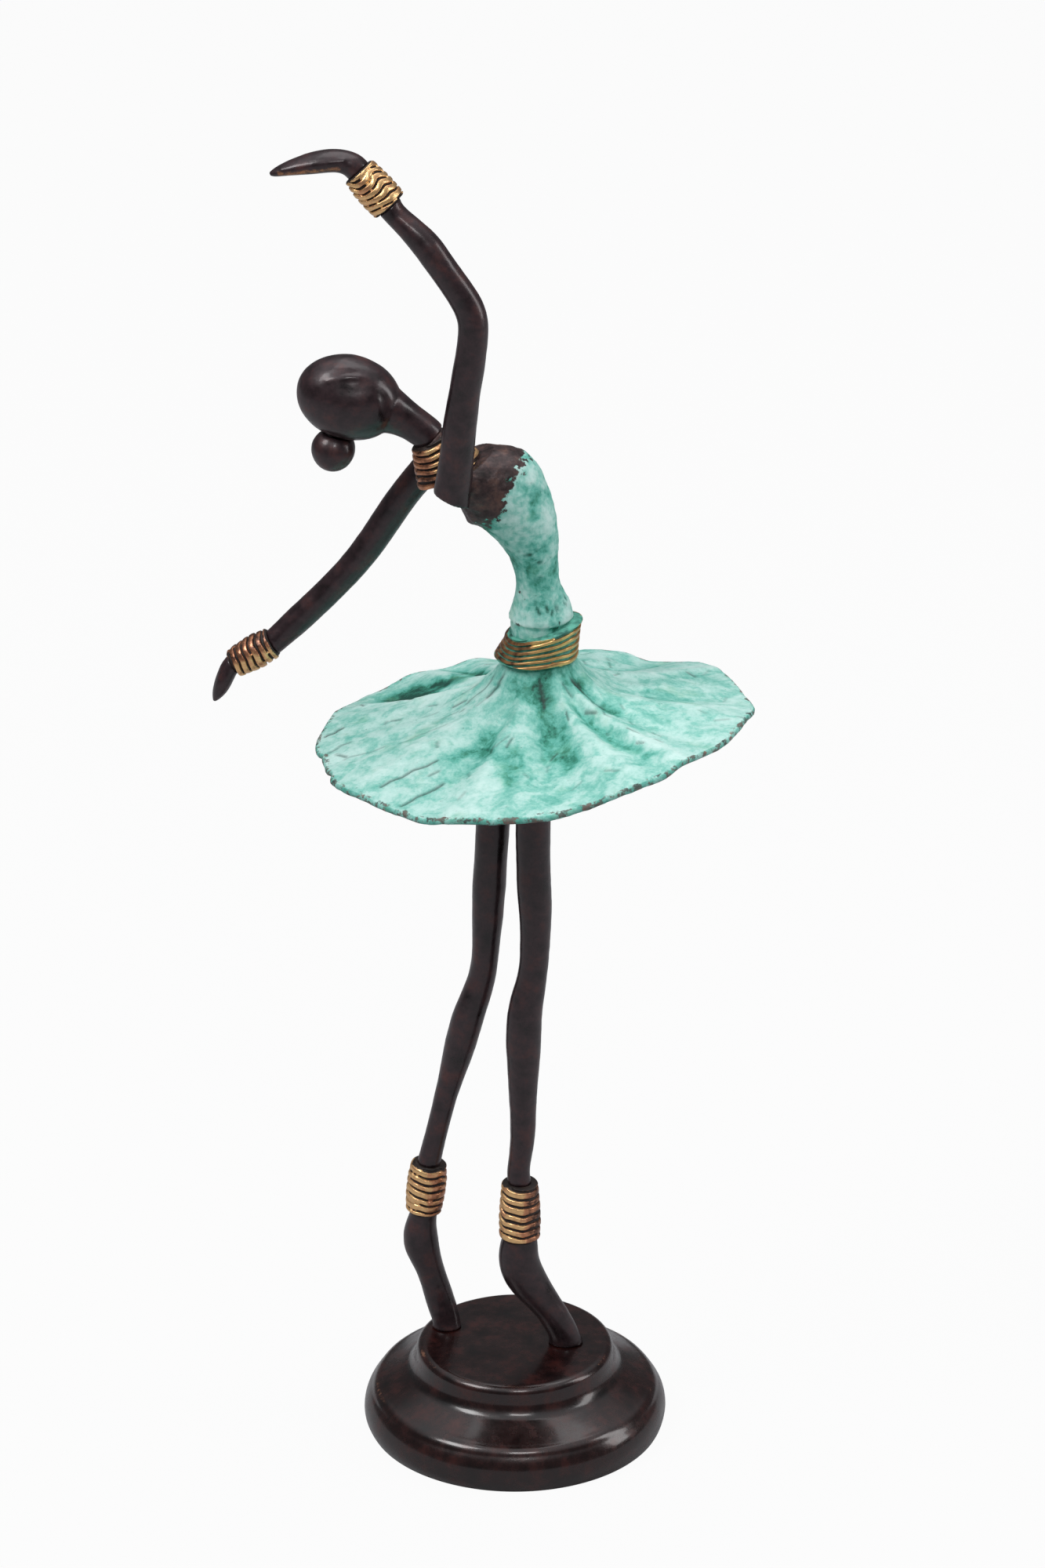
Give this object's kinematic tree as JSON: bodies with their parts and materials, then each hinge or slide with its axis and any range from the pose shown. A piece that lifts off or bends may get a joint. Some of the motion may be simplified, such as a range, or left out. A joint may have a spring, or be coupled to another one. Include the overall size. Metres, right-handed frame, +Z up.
{
  "type": "bronze statuette",
  "caption": "Stylised faceless bronze dancer in a flared skirt, one arm raised, standing on her toes on a stepped round base.",
  "frame": {"origin": "centre of the annular face that the base rests on", "axes": "+Z up through the base, +X the way the dancer's chest faces, +Y to her left"},
  "size_m": [0.1887, 0.1541, 0.4899],
  "materials": {
    "dark_bronze": "very dark brown waxed patina, satin gloss",
    "verdigris_bronze": "chalky pale green verdigris patina over bronze",
    "polished_bronze": "rubbed bright on the strands, dark in the grooves",
    "bronze_dowel": "plain drawn bronze rod",
    "fastener_steel": "plain turned steel"
  },
  "bodies": {
    "root": {"base_plinth": "dark_bronze", "left_foot_stud": "fastener_steel", "right_foot_stud": "fastener_steel", "stud_washers": "fastener_steel", "stud_nuts": "fastener_steel", "left_foot": "dark_bronze", "right_foot": "dark_bronze", "left_ankle_cuff": "polished_bronze", "right_ankle_cuff": "polished_bronze", "left_leg": "dark_bronze", "right_leg": "dark_bronze", "hip_block": "dark_bronze", "hip_dowels": "bronze_dowel", "skirt": "verdigris_bronze", "waist_wrap": "polished_bronze", "torso": "verdigris_bronze", "shoulder_dowels": "bronze_dowel", "left_arm": "dark_bronze", "right_arm": "dark_bronze", "left_wrist_cuff": "polished_bronze", "right_wrist_cuff": "polished_bronze", "left_hand": "dark_bronze", "right_hand": "dark_bronze", "neck_rings": "polished_bronze", "neck_dowel": "bronze_dowel", "head": "dark_bronze", "hair_bun": "dark_bronze"}
  },
  "joints": []
}
